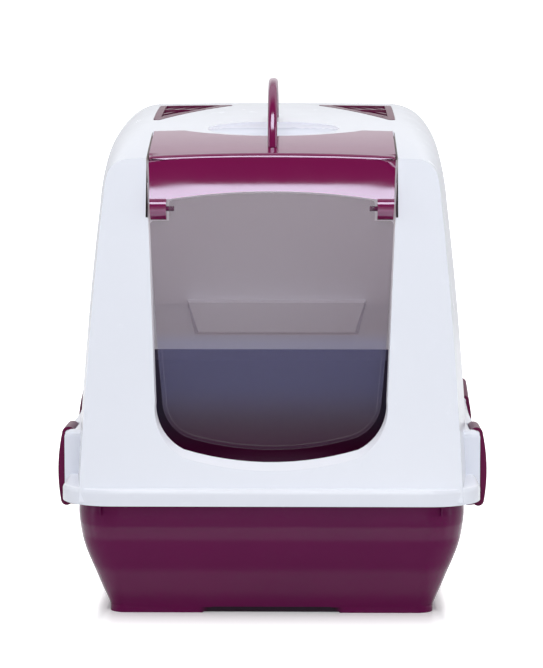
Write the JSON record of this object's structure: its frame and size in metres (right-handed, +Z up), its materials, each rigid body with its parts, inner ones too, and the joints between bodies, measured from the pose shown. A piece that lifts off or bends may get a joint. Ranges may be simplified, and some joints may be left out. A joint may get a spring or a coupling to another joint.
{
  "type": "hooded cat litter box",
  "caption": "Hooded litter box: bowed tray, lift-off hood with a swinging see-through flap, visor, carry handle, side latches and triangular roof vents with filters.",
  "frame": {"origin": "on the floor, in the middle of the width and of the length", "axes": "+Z up, door towards -Y, +X to the right when looking at the door along +Y"},
  "size_m": [0.4322, 0.5, 0.526],
  "materials": {
    "plum": "moulded plum plastic with a soft gloss",
    "white": "moulded white plastic with a soft gloss",
    "smoke": "smoked see-through plastic",
    "filter": "carbon felt",
    "screws": "zinc-plated steel"
  },
  "bodies": {
    "tray": {"tray": "plum"},
    "hood": {"hood_shell": "white", "front_visor": "plum", "visor_screws": "screws", "flap_pin_left": "plum", "flap_pin_right": "plum", "carry_handle": "plum", "handle_screws": "screws", "filter_frame_left": "white", "filter_frame_right": "white", "carbon_filter_left": "filter", "carbon_filter_right": "filter"},
    "flap": {"door_flap": "smoke"},
    "vent_left": {"vent_cover_left": "plum"},
    "vent_right": {"vent_cover_right": "plum"},
    "latch_fl": {"latch_front_left": "plum"},
    "latch_fr": {"latch_front_right": "plum"},
    "latch_rl": {"latch_rear_left": "plum"},
    "latch_rr": {"latch_rear_right": "plum"}
  },
  "joints": [
    {"name": "hood_lift", "type": "slide", "parent": "tray", "child": "hood", "axis": [0, 0, 1], "range_m": [0, 0.06]},
    {"name": "flap_swing", "type": "hinge", "parent": "hood", "child": "flap", "pos_m": [0, -0.162, 0.396], "axis": [1, 0, 0], "range_deg": [-80, 80]},
    {"name": "vent_left_lift", "type": "slide", "parent": "hood", "child": "vent_left", "axis": [0, 0, 1], "range_m": [0, 0.025]},
    {"name": "vent_right_lift", "type": "slide", "parent": "hood", "child": "vent_right", "axis": [0, 0, 1], "range_m": [0, 0.025]},
    {"name": "latch_fl_swing", "type": "hinge", "parent": "hood", "child": "latch_fl", "pos_m": [-0.2055, -0.11, 0.1685], "axis": [0, 1, 0], "range_deg": [0, 100]},
    {"name": "latch_fr_swing", "type": "hinge", "parent": "hood", "child": "latch_fr", "pos_m": [0.2055, -0.11, 0.1685], "axis": [0, -1, 0], "range_deg": [0, 100]},
    {"name": "latch_rl_swing", "type": "hinge", "parent": "hood", "child": "latch_rl", "pos_m": [-0.2055, 0.09967, 0.18369], "axis": [0, 0.9546, 0.298], "range_deg": [0, 100]},
    {"name": "latch_rr_swing", "type": "hinge", "parent": "hood", "child": "latch_rr", "pos_m": [0.2055, 0.09967, 0.18369], "axis": [0, -0.9546, -0.298], "range_deg": [0, 100]}
  ],
  "couplings": [
    {"joint": "latch_fl_swing", "follows": "hood_lift", "rad_per_m": 29.089},
    {"joint": "latch_fr_swing", "follows": "hood_lift", "rad_per_m": 29.089},
    {"joint": "latch_rl_swing", "follows": "hood_lift", "rad_per_m": 29.089},
    {"joint": "latch_rr_swing", "follows": "hood_lift", "rad_per_m": 29.089}
  ]
}
